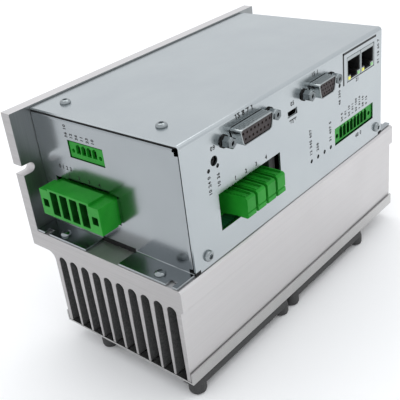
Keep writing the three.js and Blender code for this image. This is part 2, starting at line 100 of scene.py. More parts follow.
def vary(tree, shader, name, fac, stops):
    # one of the shader's inputs follows colours or greys along a 0 to 1 value
    item = add(tree, "ValToRGB", {"Fac": fac})
    elements = item.color_ramp.elements
    while len(elements) < len(stops):
        elements.new(0.5)
    for element, (position, colour) in zip(elements, stops):
        element.position = position
        element.color = linear(colour) if isinstance(colour, str) else (colour, colour, colour, 1)
    tree.links.new(item.outputs["Color"], shader.inputs[name])


def grain(tree, stretch, scale, detail=3, roughness=0.55):
    # noise in real millimetres: scale is features per mm, stretch squeezes it along x, y, z
    place = add(tree, "TexCoord")
    mapped = add(tree, "Mapping", {"Vector": place.outputs["Object"], "Scale": [s / mm for s in stretch]})
    return add(tree, "TexNoise", {"Vector": mapped.outputs["Vector"], "Scale": scale,
                                  "Detail": detail, "Roughness": roughness}).outputs["Fac"]


def bump(tree, shader, height, strength, distance):
    item = add(tree, "Bump", {"Height": height, "Strength": strength, "Distance": distance * mm})
    tree.links.new(item.outputs["Normal"], shader.inputs["Normal"])


def zincPlatedSheet(name, low, high, haze):
    # steel sheet, zinc plated and clear passivated: a cool soft mirror with faint rolling lines along x
    material, tree, shader = newMaterial(name, high, haze, 1.0)
    cloud = grain(tree, (1, 1, 1), 0.03, 3)  # 30 mm clouds in the passivation
    lines = grain(tree, (0.03, 1, 1), 1.1, 2)  # rolling lines 0.9 mm apart, coarser than life so they show
    vary(tree, shader, "Base Color", cloud, [(0.3, low), (0.7, high)])
    vary(tree, shader, "Roughness", lines, [(0.2, haze - 0.02), (0.8, haze + 0.02)])
    bump(tree, shader, lines, 0.03, 0.02)
    return material


def extrudedAluminium():
    # pressed 6060 aluminium, etched pale: matt and even, with fine die lines along the press direction
    material, tree, shader = newMaterial("extrudedAluminium", "cecccc", 0.46, 1.0)
    dieLines = grain(tree, (0.004, 1, 1), 1.4, 3)  # lines 0.7 mm apart and a few hundred mm long
    bloom = grain(tree, (1, 1, 1), 0.03, 3)
    vary(tree, shader, "Base Color", dieLines, [(0.3, "cccaca"), (0.7, "d0cece")])
    vary(tree, shader, "Roughness", bloom, [(0.3, 0.42), (0.7, 0.52)])
    bump(tree, shader, dieLines, 0.06, 0.03)
    return material


def sawnAluminium():
    # the same aluminium where the saw went through: duller, with fine level saw marks
    material, tree, shader = newMaterial("sawnAluminium", "b8b6b6", 0.55, 1.0)
    marks = grain(tree, (1, 0.02, 1), 1.6, 2)  # blade marks 0.6 mm apart
    vary(tree, shader, "Base Color", marks, [(0.3, "b4b2b2"), (0.7, "bcbaba")])
    bump(tree, shader, marks, 0.15, 0.03)
    return material


def darkFinChannel():
    # painted shade inside the fin channels: a charcoal grey with gritty noise, no shine
    material, tree, shader = newMaterial("darkFinChannel", "4c4c4c", 0.8)
    grit = grain(tree, (1, 1, 1), 1.3, 4)
    vary(tree, shader, "Base Color", grit, [(0.35, "3e3e3e"), (0.65, "5c5c5c")])
    bump(tree, shader, grit, 0.2, 0.05)
    return material


def turnedZincScrew():
    # cold headed screws, bright zinc plated: hard highlights, slightly uneven
    material, tree, shader = newMaterial("turnedZincScrew", "969c9e", 0.14, 1.0)
    wear = grain(tree, (1, 1, 1), 0.9, 3)
    vary(tree, shader, "Roughness", wear, [(0.3, 0.12), (0.7, 0.26)])
    return material


def tinPlatedShell():
    # drawn steel shells with bright tin plate: clear reflections, slightly wavy from the press
    material, tree, shader = newMaterial("tinPlatedShell", "a3a9aa", 0.2, 1.0)
    wave = grain(tree, (1, 1, 1), 0.35, 2)
    vary(tree, shader, "Roughness", wave, [(0.3, 0.15), (0.7, 0.28)])
    bump(tree, shader, wave, 0.15, 0.06)
    return material


def nickelPlatedBrass():
    # turned jackscrews under nickel: darker than the shells, with crisp edges
    material, tree, shader = newMaterial("nickelPlatedBrass", "747a7c", 0.18, 1.0)
    turning = grain(tree, (0.1, 1, 0.1), 1.5, 2)
    vary(tree, shader, "Roughness", turning, [(0.3, 0.12), (0.7, 0.24)])
    return material


def milledAluminium():
    # the wall plate's clamping face, milled flat with fine crosswise cutter marks; its darker grey is painted
    # shade
    material, tree, shader = newMaterial("milledAluminium", "949798", 0.36, 1.0)
    cutter = grain(tree, (1, 1, 0.03), 1.2, 2)  # marks 0.8 mm apart
    vary(tree, shader, "Base Color", cutter, [(0.3, "919495"), (0.7, "989b9c")])
    bump(tree, shader, cutter, 0.1, 0.03)
    return material


def greenPolyamide():
    # moulded PA66 terminal plastic in signal green: satin, with a fine spark texture
    material, tree, shader = newMaterial("greenPolyamide", "1c8b24", 0.42, 0.0, IOR=1.53,
                                          **{"Specular IOR Level": 0.2})
    cloud = grain(tree, (1, 1, 1), 0.12, 3)
    spark = grain(tree, (1, 1, 1), 2.2, 2)  # spark eroded mould, 0.45 mm pits so that they show
    vary(tree, shader, "Base Color", cloud, [(0.3, "178521"), (0.7, "239328")])
    vary(tree, shader, "Roughness", spark, [(0.3, 0.32), (0.7, 0.46)])
    bump(tree, shader, spark, 0.08, 0.03)
    return material


def shadedPolyamide():
    # the same green darkened as painted shade deep inside the wire mouths
    material, tree, shader = newMaterial("shadedPolyamide", "0c4512", 0.6, 0.0, IOR=1.53,
                                          **{"Specular IOR Level": 0.1})
    cloud = grain(tree, (1, 1, 1), 0.3, 3)
    vary(tree, shader, "Base Color", cloud, [(0.3, "093a0f"), (0.7, "0f5016")])
    return material


def brownPbtInsulator():
    # glass filled PBT socket face in dark brown: dry and slightly mottled
    material, tree, shader = newMaterial("brownPbtInsulator", "332b2b", 0.62)
    fibre = grain(tree, (0.4, 1, 1), 1.5, 3)
    vary(tree, shader, "Base Color", fibre, [(0.3, "2b2427"), (0.7, "3b3230")])
    return material


def blackFanPlastic():
    # glass filled black PBT of the fans and guards: charcoal, with pale fibre flecks in a matt skin
    material, tree, shader = newMaterial("blackFanPlastic", "3a3a3a", 0.62)
    fleck = grain(tree, (1, 1, 1), 1.7, 4, 0.7)
    stops = [(0.38, "2c2c2c"), (0.62, "3b3b3b"), (0.75, "565656")]
    vary(tree, shader, "Base Color", fleck, stops)
    bump(tree, shader, fleck, 0.25, 0.05)
    return material


def blackCellFoam():
    # dead black painted shade for the seams and gaps: no shine at all
    material, tree, shader = newMaterial("blackCellFoam", "0a0a0a", 0.95)
    shadeSpeckle = grain(tree, (1, 1, 1), 1.8, 3)
    vary(tree, shader, "Base Color", shadeSpeckle, [(0.3, "060606"), (0.7, "101010")])
    return material


def blackThermoplastic():
    # moulded black nylon inside jacks and behind holes: swallows light, satin
    material, tree, shader = newMaterial("blackThermoplastic", "141414", 0.5)
    fine = grain(tree, (1, 1, 1), 1.5, 2)
    vary(tree, shader, "Roughness", fine, [(0.3, 0.42), (0.7, 0.6)])
    return material


def goldPlatedContact():
    # flash gold over nickel: warm, sharp little glints
    material, tree, shader = newMaterial("goldPlatedContact", "d9b25a", 0.22, 1.0)
    wear = grain(tree, (1, 1, 1), 2.0, 2)
    vary(tree, shader, "Roughness", wear, [(0.3, 0.16), (0.7, 0.32)])
    return material


def tintedLens(name, colour, paintedGlow):
    # moulded polycarbonate lamp window: saturated, glossy, lightly diffusing, with a painted glow from its
    # own emission
    material, tree, shader = newMaterial(name, colour, 0.25, 0.0, IOR=1.58)
    shader.inputs["Emission Color"].default_value = linear(colour)
    shader.inputs["Emission Strength"].default_value = paintedGlow
    haze = grain(tree, (1, 1, 1), 0.8, 2)
    vary(tree, shader, "Roughness", haze, [(0.3, 0.2), (0.7, 0.36)])
    return material


def screenPrintInk():
    # two-part screen printing ink: flat black with a slightly uneven gloss
    material, tree, shader = newMaterial("screenPrintInk", "101112", 0.55)
    film = grain(tree, (1, 1, 1), 2.0, 2)
    vary(tree, shader, "Roughness", film, [(0.3, 0.48), (0.7, 0.65)])
    return material


def solderMask():
    # glass epoxy board under green solder mask: glossy, with the weave just showing
    material, tree, shader = newMaterial("solderMask", "1f5a38", 0.3, 0.0, IOR=1.52)
    place = add(tree, "TexCoord")
    weave = add(tree, "TexWave", {"Vector": place.outputs["Object"], "Scale": 0.16 / mm, "Distortion": 0.5})
    vary(tree, shader, "Base Color", weave.outputs["Fac"], [(0.2, "1b5234"), (0.8, "246540")])
    return material


def shrunkSleeve():
    # PVC sleeve shrunk on capacitors and windings: black with a tight gloss
    material, tree, shader = newMaterial("shrunkSleeve", "1b1c22", 0.28, 0.0, IOR=1.54)
    pull = grain(tree, (1, 1, 0.2), 0.5, 2)
    bump(tree, shader, pull, 0.2, 0.1)
    return material


def castResin():
    # transfer moulded epoxy of the power modules: pale, chalky
    material, tree, shader = newMaterial("castResin", "cdc8ba", 0.65)
    chalk = grain(tree, (1, 1, 1), 0.8, 3)
    vary(tree, shader, "Base Color", chalk, [(0.3, "c4bfb0"), (0.7, "d6d1c4")])
    return material


def siliconePad():
    # filled silicone gap pad: grey-blue, tacky and quite matt
    material, tree, shader = newMaterial("siliconePad", "8e9aa1", 0.9)
    filler = grain(tree, (1, 1, 1), 1.2, 3)
    vary(tree, shader, "Base Color", filler, [(0.3, "86929a"), (0.7, "98a4ab")])
    return material


def enamelledCopper():
    # wound enamelled wire: warm copper ridges about 1 mm apart
    material, tree, shader = newMaterial("enamelledCopper", "a8582c", 0.3, 1.0)
    place = add(tree, "TexCoord")
    turns = add(tree, "TexWave", {"Vector": place.outputs["Object"], "Scale": 0.16 / mm}, bands_direction="Z")
    bump(tree, shader, turns.outputs["Fac"], 0.5, 0.3)
    return material


def turnedBrass():
    # free cutting brass standoffs: yellow, with fine turning rings
    material, tree, shader = newMaterial("turnedBrass", "c9a656", 0.28, 1.0)
    rings = grain(tree, (0.05, 0.05, 1), 2.0, 2)
    vary(tree, shader, "Roughness", rings, [(0.3, 0.22), (0.7, 0.36)])
    return material


zinc = zincPlatedSheet("zincPlatedCover", "b2b8bb", "b8bec0", 0.25)
# the end panels' darker base colour is painted shade on the same zinc sheet; their lower haze is real
panelZincPaintedShade = zincPlatedSheet("zincPlatedPanel", "9ba0a3", "a1a6a9", 0.19)  # end panels: darker and clearer
warmZinc = zincPlatedSheet("zincPlatedBase", "bab9b8", "c1c0bf", 0.25)  # sheet under the fins: neutral grey
pressed = extrudedAluminium()
sawn = sawnAluminium()
finChannelShade = darkFinChannel()
milledPaintedShade = milledAluminium()
screwZinc = turnedZincScrew()
tinPlate = tinPlatedShell()
nickel = nickelPlatedBrass()
green = greenPolyamide()
shadedGreen = shadedPolyamide()
brown = brownPbtInsulator()
fanBlack = blackFanPlastic()
black = blackThermoplastic()
shadeBlack = blackCellFoam()
gold = goldPlatedContact()
yellowLens = tintedLens("yellowLens", "d9d84a", 0.25)
greenLens = tintedLens("greenLens", "86c47a", 0.1)
smokedLens = tintedLens("smokedLens", "2a2c2a", 0.0)
ink = screenPrintInk()
# CAD nodes that show as they are: each look and how its nodes' names start
plainNodes = (
    (solderMask(), ("power_board", "control_board")),
    (shrunkSleeve(), ("bus_capacitor_", "aux_transformer")),
    (castResin(), ("power_module_",)),
    (siliconePad(), ("thermal_pad_",)),
    (enamelledCopper(), ("supply_choke",)),
    (turnedBrass(), ("base_standoff_", "board_standoff_")),
    (smokedLens, ("node_leds", "bus_led", "status_leds")),
    (black, ("address_switch", "address_rotor")),
)
for material, starts in plainNodes:
    for name, item in nodes.items():
        if name.startswith(starts):
            item.data.materials.clear()
            item.data.materials.append(material)
print("materials made")


# mesh helpers

def place(axis, a, b, t):
    # a drawing's two directions and the direction it is pushed in
    return at(*{"x": (t, a, b), "y": (a, t, b), "z": (a, b, t)}[axis])


def prism(bm, outline, axis, start, end):
    low = [bm.verts.new(place(axis, a, b, start)) for a, b in outline]
    high = [bm.verts.new(place(axis, a, b, end)) for a, b in outline]
    bm.faces.new(low)
    bm.faces.new(high)
    for i, vertex in enumerate(low):
        j = (i + 1) % len(low)
        bm.faces.new((vertex, low[j], high[j], high[i]))


def loft(bm, rings, closed=False):
    # rings of points joined one to the next; a ring of one point is a tip, and closed joins last to first
    loops = [[bm.verts.new(p) for p in ring] for ring in rings]
    for first, second in zip(loops, loops[1:] + loops[:1] if closed else loops[1:]):
        count = max(len(first), len(second))
        for i in range(count):
            j = (i + 1) % count
            if len(first) == 1:
                bm.faces.new((first[0], second[i], second[j]))
            elif len(second) == 1:
                bm.faces.new((first[i], first[j], second[0]))
            else:
                bm.faces.new((first[i], first[j], second[j], second[i]))
    for end in (loops[0], loops[-1]):
        if len(end) > 2 and not closed:
            bm.faces.new(end)


def arc(centre, radius, start, end, steps):
    # points on an arc, angles in degrees
    angles = [math.radians(start + (end - start) * i / steps) for i in range(steps + 1)]
    return [(centre[0] + radius * math.cos(t), centre[1] + radius * math.sin(t)) for t in angles]


def circle(centre, radius, steps=32):
    return arc(centre, radius, 0, 360, steps)[:-1]


def rectangle(a0, a1, b0, b1, radius=0.0, steps=5):
    if radius <= 0:
        return [(a0, b0), (a1, b0), (a1, b1), (a0, b1)]
    r = radius
    return (arc((a1 - r, b0 + r), r, -90, 0, steps) + arc((a1 - r, b1 - r), r, 0, 90, steps)
            + arc((a0 + r, b1 - r), r, 90, 180, steps) + arc((a0 + r, b0 + r), r, 180, 270, steps))


def spun(bm, profile, centre, axis, steps=32):
    # a turned shape: radius and place along the axis; a profile that stays off the axis makes a ring
    rings = []
    for radius, t in profile:
        points = circle(centre, radius, steps) if radius > 0 else [centre]
        rings.append([place(axis, a, b, t) for a, b in points])
    loft(bm, rings, closed=profile[0][0] > 0)


def block(bm, xs, ys, zs):
    prism(bm, rectangle(*xs, *ys), "z", *zs)


def solid(name, build):
    # a mesh object from a function that fills a bmesh
    bm = bmesh.new()
    build(bm)
    bmesh.ops.recalc_face_normals(bm, faces=bm.faces)
    mesh = bpy.data.meshes.new(name)
    bm.to_mesh(mesh)
    bm.free()
    item = bpy.data.objects.new(name, mesh)
    bpy.context.scene.collection.objects.link(item)
    return item


def settle(item):
    # the modifiers' result becomes the mesh
    bpy.context.view_layer.update()
    shape = item.evaluated_get(bpy.context.evaluated_depsgraph_get())
    mesh = bpy.data.meshes.new_from_object(shape)
    item.modifiers.clear()
    item.data = mesh
    mesh.name = item.name


def cutAway(item, build):
    tool = solid(item.name + "_tool", build)
    boolean = item.modifiers.new("cut", "BOOLEAN")
    boolean.object = tool
    boolean.operation = "DIFFERENCE"
    boolean.solver = "EXACT"
    boolean.use_self = True
    settle(item)
    bpy.data.objects.remove(tool)


def finish(item, material, replaced=(), body="drive", bevel=0.15, segments=2, sharp=32):
    # broken edges, even shading, then the finish and the body it rides on
    item.data.materials.clear()
    for entry in material if isinstance(material, (list, tuple)) else [material]:
        item.data.materials.append(entry)
    if bevel:
        edges = item.modifiers.new("broken edges", "BEVEL")
        edges.width = bevel * mm
        edges.segments = segments
        edges.limit_method = "ANGLE"
        edges.angle_limit = math.radians(sharp)
        edges.use_clamp_overlap = True
        settle(item)
    item.data.shade_smooth()
    item.data.set_sharp_from_angle(angle=math.radians(sharp + 6))
    shading = item.modifiers.new("even shading", "WEIGHTED_NORMAL")
    shading.keep_sharp = True
    shading.weight = 80
    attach(item, body)
    if replaced:
        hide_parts(*replaced)


def fromCad(node, name):
    # the node's own shape, its flat faces made whole again so that its edges can be broken
    item = bpy.data.objects.new(name, nodes[node].data.copy())
    bpy.context.scene.collection.objects.link(item)
    bm = bmesh.new()
    bm.from_mesh(item.data)
    bmesh.ops.remove_doubles(bm, verts=bm.verts, dist=0.002 * mm)
    bmesh.ops.dissolve_limit(bm, angle_limit=math.radians(1), verts=bm.verts, edges=bm.edges)
    bm.to_mesh(item.data)
    bm.free()
    normals = item.data.attributes.get("custom_normal")
    if normals:
        item.data.attributes.remove(normals)
    return item


# heatsink and sheet metal

heatsinkLook = {"arris": 0.3, "slotTop": -10.9, "finFront": 0.5, "finBack": 85.6, "plateFace": 95.5,
                "endSlack": 0.05, "faceSlack": 0.1, "topSlack": 0.2}
pressedFace, sawnFace, channelShadeFace, milledShadeFace = range(4)  # places in the heatsink's list of materials

heatsink = fromCad("heatsink", "heatsinkExtrusion")
finish(heatsink, [pressed, sawn, finChannelShade, milledPaintedShade], ["heatsink"], bevel=heatsinkLook["arris"])
endLow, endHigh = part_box("heatsink")
channelTop = at(0, 0, heatsinkLook["slotTop"]).z + heatsinkLook["topSlack"] * mm
frontFin = at(0, heatsinkLook["finFront"], 0).y
backFin = at(0, heatsinkLook["finBack"], 0).y
plateFace = at(0, heatsinkLook["plateFace"], 0).y
for face in heatsink.data.polygons:
    centre = face.center
    fromEnd = min(centre.x - endLow.x, endHigh.x - centre.x)
    if abs(face.normal.x) > 0.9 and fromEnd < heatsinkLook["endSlack"] * mm:
        face.material_index = sawnFace
    # the plate's inner face takes the darker milled grey: painted shade
    elif face.normal.y < -0.9 and abs(centre.y - plateFace) < heatsinkLook["faceSlack"] * mm:
        face.material_index = milledShadeFace
    # fin walls inside the channels take the charcoal channel material: painted shade
    elif frontFin < centre.y < backFin and centre.z < channelTop and face.normal.z > -0.95:
        face.material_index = channelShadeFace if abs(face.normal.x) < 0.35 else pressedFace

sheets = (("bottom_cover", "bottomSheet", warmZinc), ("top_cover", "coverSheet", zinc),
          ("near_end_panel", "nearEndSheet", panelZincPaintedShade), ("far_end_panel", "farEndSheet", panelZincPaintedShade))
for node, name, look in sheets:
    finish(fromCad(node, name), look, [node], bevel=0.14, segments=2, sharp=28)

# dead black blocks behind the seams and in the openings under the end panels: painted shade, which also keeps
# light from coming through them
seamShade = {"top": (61.15, 62.02), "front": (0.98, 1.42), "setBack": 0.5, "length": 167.5}


def seamShadeBlocks(bm, end, inward):
    first, second = sorted((end + inward * seamShade["setBack"], end + inward * 3))
    block(bm, (first, second), (2.6, 95.1), seamShade["top"])
    block(bm, (first, second), seamShade["front"], (1.6, 60.8))
    wall = sorted((end + inward * 0.3, end + inward * 0.95))
    block(bm, wall, (95.18, 95.46), (2.2, 61.8))
    footLip = sorted((end - inward * 0.15, end + inward * 1.5))
    block(bm, footLip, (36.7, 58.8), (0.05, 2.5))
    openingShade = sorted((end + inward * 0.2, end + inward * 3.6))
    block(bm, openingShade, (-0.04, 3.3), (0.15, 1.9))


for name, end, inward in (("nearSeamSeals", 0, 1), ("farSeamSeals", seamShade["length"], -1)):
    finish(solid(name, lambda bm: seamShadeBlocks(bm, end, inward)), shadeBlack, bevel=0)
print("heatsink and sheets made")


# screws

# the head's radius and height, its rim's height and dome's curve, the shank, the recess, and the CAD head
screwLook = {"head": 2.7, "height": 1.85, "rim": 0.3, "curve": 0.62, "shank": 1.4, "buried": 0.9,
             "recess": 1.35, "depth": 1.0, "cadHeight": 1.9}


def panHead(bm, centre, axis, seat, out):
    s = screwLook
    steps = 9
    end, under = seat - out * s["buried"], seat + out * 0.02
    profile = [(0, end), (s["shank"], end), (s["shank"], under), (s["head"] - 0.1, under),
               (s["head"], seat + out * 0.12)]
    for i in range(steps):
        t = math.radians(90 * i / steps)
        rise = s["rim"] + (s["height"] - s["rim"]) * math.sin(t)
        profile.append((s["head"] * math.cos(t) ** s["curve"], seat + out * rise))
    spun(bm, profile + [(0, seat + out * s["height"])], centre, axis, 36)


def sixLobe(centre, radius, steps=48):
    points = []
    for i in range(steps):
        t = 2 * math.pi * i / steps
        r = radius * (0.86 + 0.14 * math.cos(6 * t))
        points.append((centre[0] + r * math.cos(t), centre[1] + r * math.sin(t)))
    return points


def screw(node, axis, out):
    low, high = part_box(node)
    middle = ((low + high) / 2 - corner) / mm
    head = (high if out > 0 else low) - corner
    tip = {"x": head.x, "y": head.y, "z": head.z}[axis] / mm
    seat = tip - out * screwLook["cadHeight"]
    centre = {"x": (middle.y, middle.z), "y": (middle.x, middle.z), "z": (middle.x, middle.y)}[axis]
    name = "panScrew_" + node.replace("_screw", "")
    item = solid(name, lambda bm: panHead(bm, centre, axis, seat, out))
    top = seat + out * screwLook["height"]
    lobes = sixLobe(centre, screwLook["recess"])
    cutAway(item, lambda bm: prism(bm, lobes, axis, top - out * screwLook["depth"], top + out))
    finish(item, screwZinc, [node], bevel=0.05, sharp=40)


for node in sorted(nodes):
    if node.startswith("cover_screw") or "tab_screw" in node:
        screw(node, "z", 1)
    elif node.startswith("front_screw"):
        screw(node, "y", -1)
print("screws made")


# D sockets

encoder = {"name": "encoder", "x": 44.05, "z": 53.7, "half": 12.4, "rise": 4.1, "screw": 16.6, "flange": 19.6,
           "rows": [(8, 1.42), (7, -1.42)], "pitch": 2.76, "hole": 0.62}
feedback = {"name": "feedback", "x": 101.9, "z": 52.1, "half": 8.2, "rise": 4.1, "screw": 12.5,
            "flange": 15.5, "rows": [(5, 1.98), (5, 0.0), (5, -1.98)], "pitch": 2.29, "hole": 0.5}
socketLook = {"flange": 6.2, "corner": 1.5, "flangeDepth": (1.35, 2.15), "face": -5.35, "boxLow": 44.2,
              "washer": [(1.2, -0.1), (3.0, -0.1), (3.0, -0.66), (1.2, -0.66)]}


def dOutline(port, grow):
    # the D: wide edge up, corners well rounded
    lean = port["rise"] * 0.36
    rise = port["rise"] + grow
    wide, narrow = port["half"] + grow, port["half"] - lean + grow - 0.35
    corners = [(-wide, rise), (-narrow, -rise), (narrow, -rise), (wide, rise)]
    points = []
    for i, (x, z) in enumerate(corners):
        before, after = Vector(corners[i - 1]), Vector(corners[(i + 1) % 4])
        here = Vector((x, z))
        radius = 2.0 + grow
        for k in range(7):
            t = k / 6
            first = here + (before - here).normalized() * radius
            last = here + (after - here).normalized() * radius
            p = first * (1 - t) ** 2 + here * 2 * t * (1 - t) + last * t ** 2
            points.append((port["x"] + p.x, port["z"] + p.y))
    return points


def dRing(port, grow, y):
    return [place("y", a, b, y) for a, b in dOutline(port, grow)]


def socketShell(bm, port):
    # a drawn shell: shoulder at the panel, straight sides, rolled lip, and back down inside
    rings = [(0.0, 2.4), (0.0, -1.0), (-0.12, -1.3), (-0.12, -5.5), (-0.22, -5.85), (-0.4, -6.0),
             (-0.58, -5.85), (-0.66, -5.5), (-0.66, 2.4)]
    loft(bm, [dRing(port, grow, y) for grow, y in rings], closed=True)
    x, z, reach = port["x"], port["z"], port["flange"]
    tall = socketLook["flange"]
    prism(bm, rectangle(x - reach, x + reach, z - tall, z + tall, socketLook["corner"]), "y",
          *socketLook["flangeDepth"])
    for y in (-1.5, -2.9, -4.3):  # pressed stiffening ribs along the top
        block(bm, (x - port["half"] + 1.4, x + port["half"] - 1.4), (y - 0.16, y + 0.16),
              (z + port["rise"] - 0.3, z + port["rise"] + 0.18))


def socketFace(bm, port):
    prism(bm, dOutline(port, -0.8), "y", socketLook["face"], 2.6)
    block(bm, (port["x"] - port["flange"] + 1, port["x"] + port["flange"] - 1), (3, 14),
          (socketLook["boxLow"], port["z"] + 5.6))


def contactPlaces(port):
    # rows of contacts; with three rows the middle one is staggered half a pitch
    places = []
    for row, (count, rise) in enumerate(port["rows"]):
        stagger = (0.25 if row == 1 else -0.25) if len(port["rows"]) == 3 else 0
        for i in range(count):
            places.append((port["x"] + (i - (count - 1) / 2 + stagger) * port["pitch"], port["z"] + rise))
    return places


def socketHoles(bm, port):
    for centre in contactPlaces(port):
        prism(bm, circle(centre, port["hole"], 14), "y", -7, -2.5)


def socketContacts(bm, port):
    outer, inner = port["hole"] * 0.8, port["hole"] * 0.5
    for centre in contactPlaces(port):
        spun(bm, [(outer, -2.45), (outer, -4.6), (inner, -4.6), (inner, -2.45)], centre, "y", 10)


def jackScrew(bm, centre):
    # a hexagonal standoff with one flat to each side, its front end chamfered
    sections = ((2.75, -0.62), (2.75, -4.7), (2.3, -5.25))
    loft(bm, [[place("y", a, b, y) for a, b in arc(centre, radius, 30, 330, 5)] for radius, y in sections])


def jackBore(bm, centre):
    thread = [(0, -1.9)] + [(0.85 + (0.1 if i % 2 else 0), -2.0 - i * 0.28) for i in range(11)]
    thread += [(1.3, -5.4), (0, -5.4)]
    spun(bm, thread, centre, "y", 20)


for port in (encoder, feedback):
    name = port["name"]
    shell = solid(name + "Shell", lambda bm: socketShell(bm, port))
    finish(shell, tinPlate, [name + "_socket_shell"], bevel=0, sharp=40)
    face = solid(name + "Insert", lambda bm: socketFace(bm, port))
    cutAway(face, lambda bm: socketHoles(bm, port))
    finish(face, brown, [name + "_socket_insert"], bevel=0.1)
    contacts = solid(name + "Contacts", lambda bm: socketContacts(bm, port))
    finish(contacts, gold, bevel=0)
    for number, letter, side in ((1, "A", -1), (2, "B", 1)):
        centre = (port["x"] + side * port["screw"], port["z"])
        post = solid(f"{name}JackScrew{letter}", lambda bm: jackScrew(bm, centre))
        cutAway(post, lambda bm: jackBore(bm, centre))
        # a dead black ring behind each hex: painted shade in the gap at the panel
        washer = solid(f"{name}Washer{letter}", lambda bm: spun(bm, socketLook["washer"], centre, "y", 24))
        finish(washer, shadeBlack, bevel=0)
        finish(post, nickel, [f"{name}_jackscrew_{number}"], bevel=0.12)
print("D sockets made")


# network jacks and service port

jackLook = {"places": (137.3, 151.6), "half": 7.0, "z": (44.1, 57.0), "mouth": (47.3, 54.8), "mouthHalf": 5.9,
            "notch": 45.2, "notchHalf": 3.0, "wires": 8, "wirePitch": 1.02, "wireHalf": 0.18}


def jackMouth(x, grow=0.0):
    p = jackLook
    m, n = p["mouthHalf"] + grow, p["notchHalf"] + grow
    low, high, stem = p["mouth"][0] - grow, p["mouth"][1] + grow, p["notch"] - grow
    return [(x - m, low), (x - n, low), (x - n, stem), (x + n, stem), (x + n, low), (x + m, low),
            (x + m, high), (x - m, high)]


def jackWires(bm, x):
    # spring contacts, each a slope down into the mouth and a bend back up
    p = jackLook
    for i in range(p["wires"]):
        wireX = x + (i - (p["wires"] - 1) / 2) * p["wirePitch"]
        for y0, z0, y1, z1 in ((1.6, 54.2, 8.6, 51.4), (8.6, 51.4, 10.8, 52.6)):
            side = ((y0, z0), (y0 + 0.35, z0 + 0.1), (y1 + 0.35, z1 + 0.1), (y1, z1))
            edges = (wireX - p["wireHalf"], wireX + p["wireHalf"])
            loft(bm, [[place("x", y, z, edge) for y, z in side] for edge in edges])


for index, x in enumerate(jackLook["places"], 1):
    p = jackLook
    shield = solid(f"networkShield{index}", lambda bm: prism(
        bm, rectangle(x - p["half"], x + p["half"], *p["z"], 0.5, 3), "y", 0.1, 15))
    cutAway(shield, lambda bm: prism(bm, jackMouth(x, 0.35), "y", -1, 12.5))
    finish(shield, tinPlate, [f"network_jack_{index}"], bevel=0.12)
    liner = solid(f"networkLiner{index}", lambda bm: prism(bm, jackMouth(x, 0.33), "y", 0.5, 12.3))
    cutAway(liner, lambda bm: prism(bm, jackMouth(x), "y", 0, 11.5))
    finish(liner, black, bevel=0.08)
    wires = solid(f"networkContacts{index}", lambda bm: jackWires(bm, x))
    finish(wires, gold, bevel=0)
    for lens, side, name in ((yellowLens, -1, "Yellow"), (greenLens, 1, "Green")):
        cx = x + side * 4.75
        window = solid(f"link{name}Lens{index}", lambda bm: prism(
            bm, rectangle(cx - 1.05, cx + 1.05, 44.8, 46.4, 0.25, 3), "y", -0.1, 1.2))
        finish(window, lens, bevel=0.12)

usbLook = {"x": 79.2, "z": 46.8, "half": 3.75, "rise": 1.45}


def usbOutline(grow):
    u = usbLook
    wide, low, rise = u["half"] + grow, u["half"] - 0.9 + grow, u["rise"] + grow
    return [(u["x"] - wide, u["z"] + rise), (u["x"] - wide, u["z"] - 0.1), (u["x"] - low, u["z"] - rise),
            (u["x"] + low, u["z"] - rise), (u["x"] + wide, u["z"] - 0.1), (u["x"] + wide, u["z"] + rise)]


usbShell = solid("serviceShell", lambda bm: prism(bm, usbOutline(0.15), "y", 0.35, 9.4))
cutAway(usbShell, lambda bm: prism(bm, usbOutline(-0.2), "y", -1, 8.6))
finish(usbShell, tinPlate, ["usb_port"], bevel=0.08)
tongue = rectangle(usbLook["x"] - 2.6, usbLook["x"] + 2.6, usbLook["z"] + 0.1, usbLook["z"] + 0.75)
usbTongue = solid("serviceTongue", lambda bm: prism(bm, tongue, "y", 1.6, 8.8))
finish(usbTongue, black, bevel=0.1)
print("jacks made")


# green headers

supply = {"y": (43.7, 85.9), "z": (13.3, 28.6), "out": 11.6, "middle": 64.8, "pitch": 7.05, "step": 1.3,
          "ear": 3.4, "pinZ": 20.6, "nutZ": 20.2}
motor = {"middle": 44.25, "pitch": 7.7, "z": (16.3, 26.7), "out": 8.0, "half": 3.0}
ioHeader = {"x": (117.4, 157.0), "z": (13.7, 22.2), "front": 0.8, "poles": 8, "pitch": 3.7}
safety = {"y": (48.1, 71.0), "z": (42.4, 50.4), "front": 0.6, "poles": 4, "pitch": 3.7}
fourPoles = (-1.5, -0.5, 0.5, 1.5)  # places of four poles either side of the middle, in pitches


def shadePockets(item, low, high):
    # faces whose middles lie between two corners, inside the mouths, take the second material: painted shade
    for face in item.data.polygons:
        if all(low[i] < face.center[i] < high[i] for i in range(3)):
            face.material_index = 1


def supplyBody(bm):
    s = supply
    core = s["pitch"] * 2 + 0.7
    (y0, y1), (z0, z1) = s["y"], s["z"]
    top = z1 - s["step"]
    section = [(y0, z0), (y1, z0), (y1, top), (s["middle"] + core, top), (s["middle"] + core, z1),
               (s["middle"] - core, z1), (s["middle"] - core, top), (y0, top)]
    prism(bm, section, "x", -s["out"], -1.6)
    prism(bm, rectangle(y0 + 0.3, y1 - 0.3, z0 + 0.3, z1 - 2.2), "x", -1.7, 9)


def supplyPockets(bm):
    s = supply
    z0, z1 = s["z"]
    for k in fourPoles:
        y = s["middle"] + k * s["pitch"]
        prism(bm, rectangle(y - 2.65, y + 2.65, z0 + 1.6, z1 - 1.2, 0.5, 3), "x", -s["out"] - 1, -2.2)
    for side in (-1, 1):
        y = s["middle"] + side * (s["pitch"] * 2 + s["ear"])
        prism(bm, rectangle(y - 2.0, y + 2.0, z0 + 4.8, z0 + 9.0, 0.4, 3), "x", -s["out"] - 1, -5)


